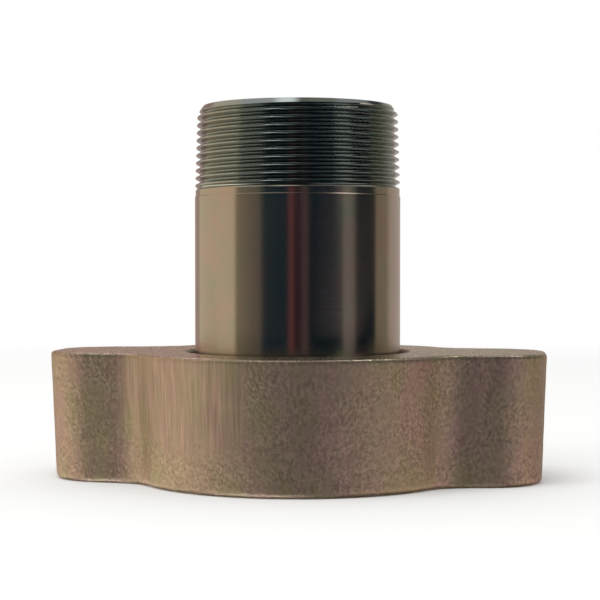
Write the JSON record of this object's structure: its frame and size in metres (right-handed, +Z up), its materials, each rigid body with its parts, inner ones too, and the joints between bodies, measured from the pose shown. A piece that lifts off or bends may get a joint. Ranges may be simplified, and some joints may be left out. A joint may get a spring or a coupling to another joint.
{
  "type": "hose adapter",
  "caption": "Turned steel stem with a taper pipe thread at its top, standing in a loose eared hammer nut that swivels round its base to clamp a ground joint.",
  "frame": {"origin": "on the stem's axis, at the flat surface that the stem and the nut stand on", "axes": "+Z up the stem towards its threaded end, X along the nut's ears"},
  "size_m": [0.145, 0.0982, 0.109],
  "materials": {
    "turned_steel": "turned and bright plated",
    "cast_iron": "cast surface, yellow-brown plating"
  },
  "bodies": {
    "stem": {"adapter_stem": "turned_steel"},
    "nut": {"wing_nut": "cast_iron"}
  },
  "joints": [
    {"name": "nut_swivel", "type": "hinge", "parent": "stem", "child": "nut", "pos_m": [0, 0, 0.0186], "axis": [0, 0, 1], "continuous": true}
  ]
}
